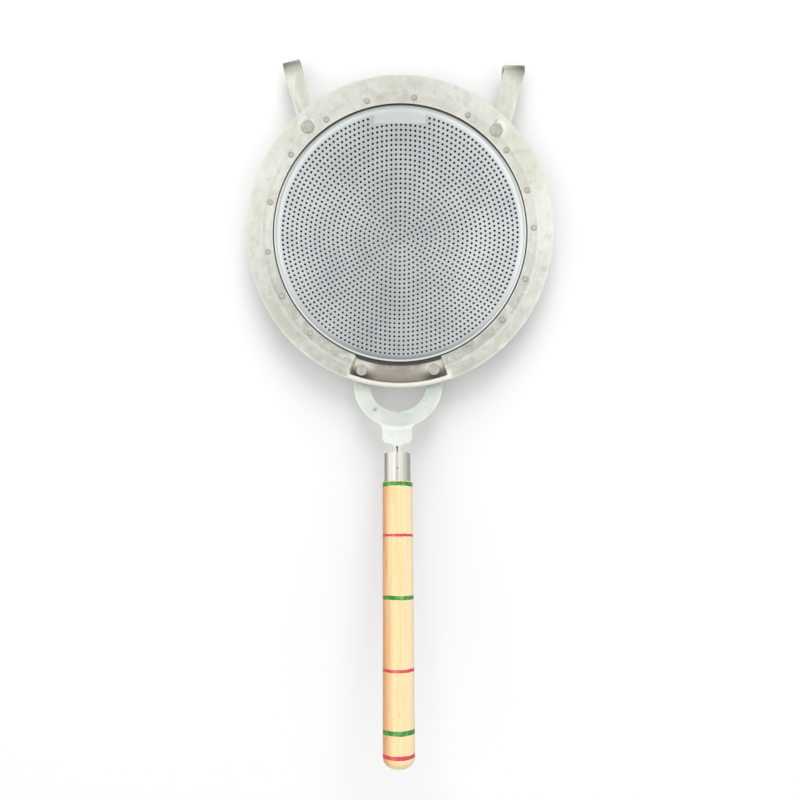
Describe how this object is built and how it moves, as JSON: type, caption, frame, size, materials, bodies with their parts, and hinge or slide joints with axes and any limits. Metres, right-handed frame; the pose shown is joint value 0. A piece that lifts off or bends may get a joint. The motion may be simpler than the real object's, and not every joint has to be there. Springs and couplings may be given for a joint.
{
  "type": "perforated frying ladle",
  "caption": "Shallow perforated dish in a riveted rim with two hanging hooks, held by a forked bracket and a long round wooden handle.",
  "frame": {"origin": "The lowest point of the dish's underside, on the pan's axis.", "axes": "+Z is the pan's own axis, upwards out of the dish. +Y points to the side with the hooks, and the handle runs to -Y. +X points to the right hook, seen from above with the handle towards the viewer."},
  "size_m": [0.2648, 0.5775, 0.1185],
  "materials": {
    "disc_steel": "satin, cool grey",
    "tinned_rim": "satin, warm tin plate with wear",
    "small_rivets": "dull, worn heads",
    "hook_strip": "satin, flat strip",
    "large_rivets": "flat turned heads",
    "fork_steel": "satin, faint green-grey tone",
    "ferrule_metal": "polished tube with soft wear",
    "nail_steel": "dull",
    "handle_wood": "varnished pale wood with painted green and red bands"
  },
  "bodies": {
    "root": {"strainer_disc": "disc_steel", "rim_ring": "tinned_rim", "disc_rivets": "small_rivets", "left_hook": "hook_strip", "right_hook": "hook_strip", "hook_rivets": "large_rivets", "fork_bracket": "fork_steel", "bracket_rivets": "large_rivets", "ferrule": "ferrule_metal", "ferrule_nail": "nail_steel", "handle": "handle_wood"}
  },
  "joints": []
}
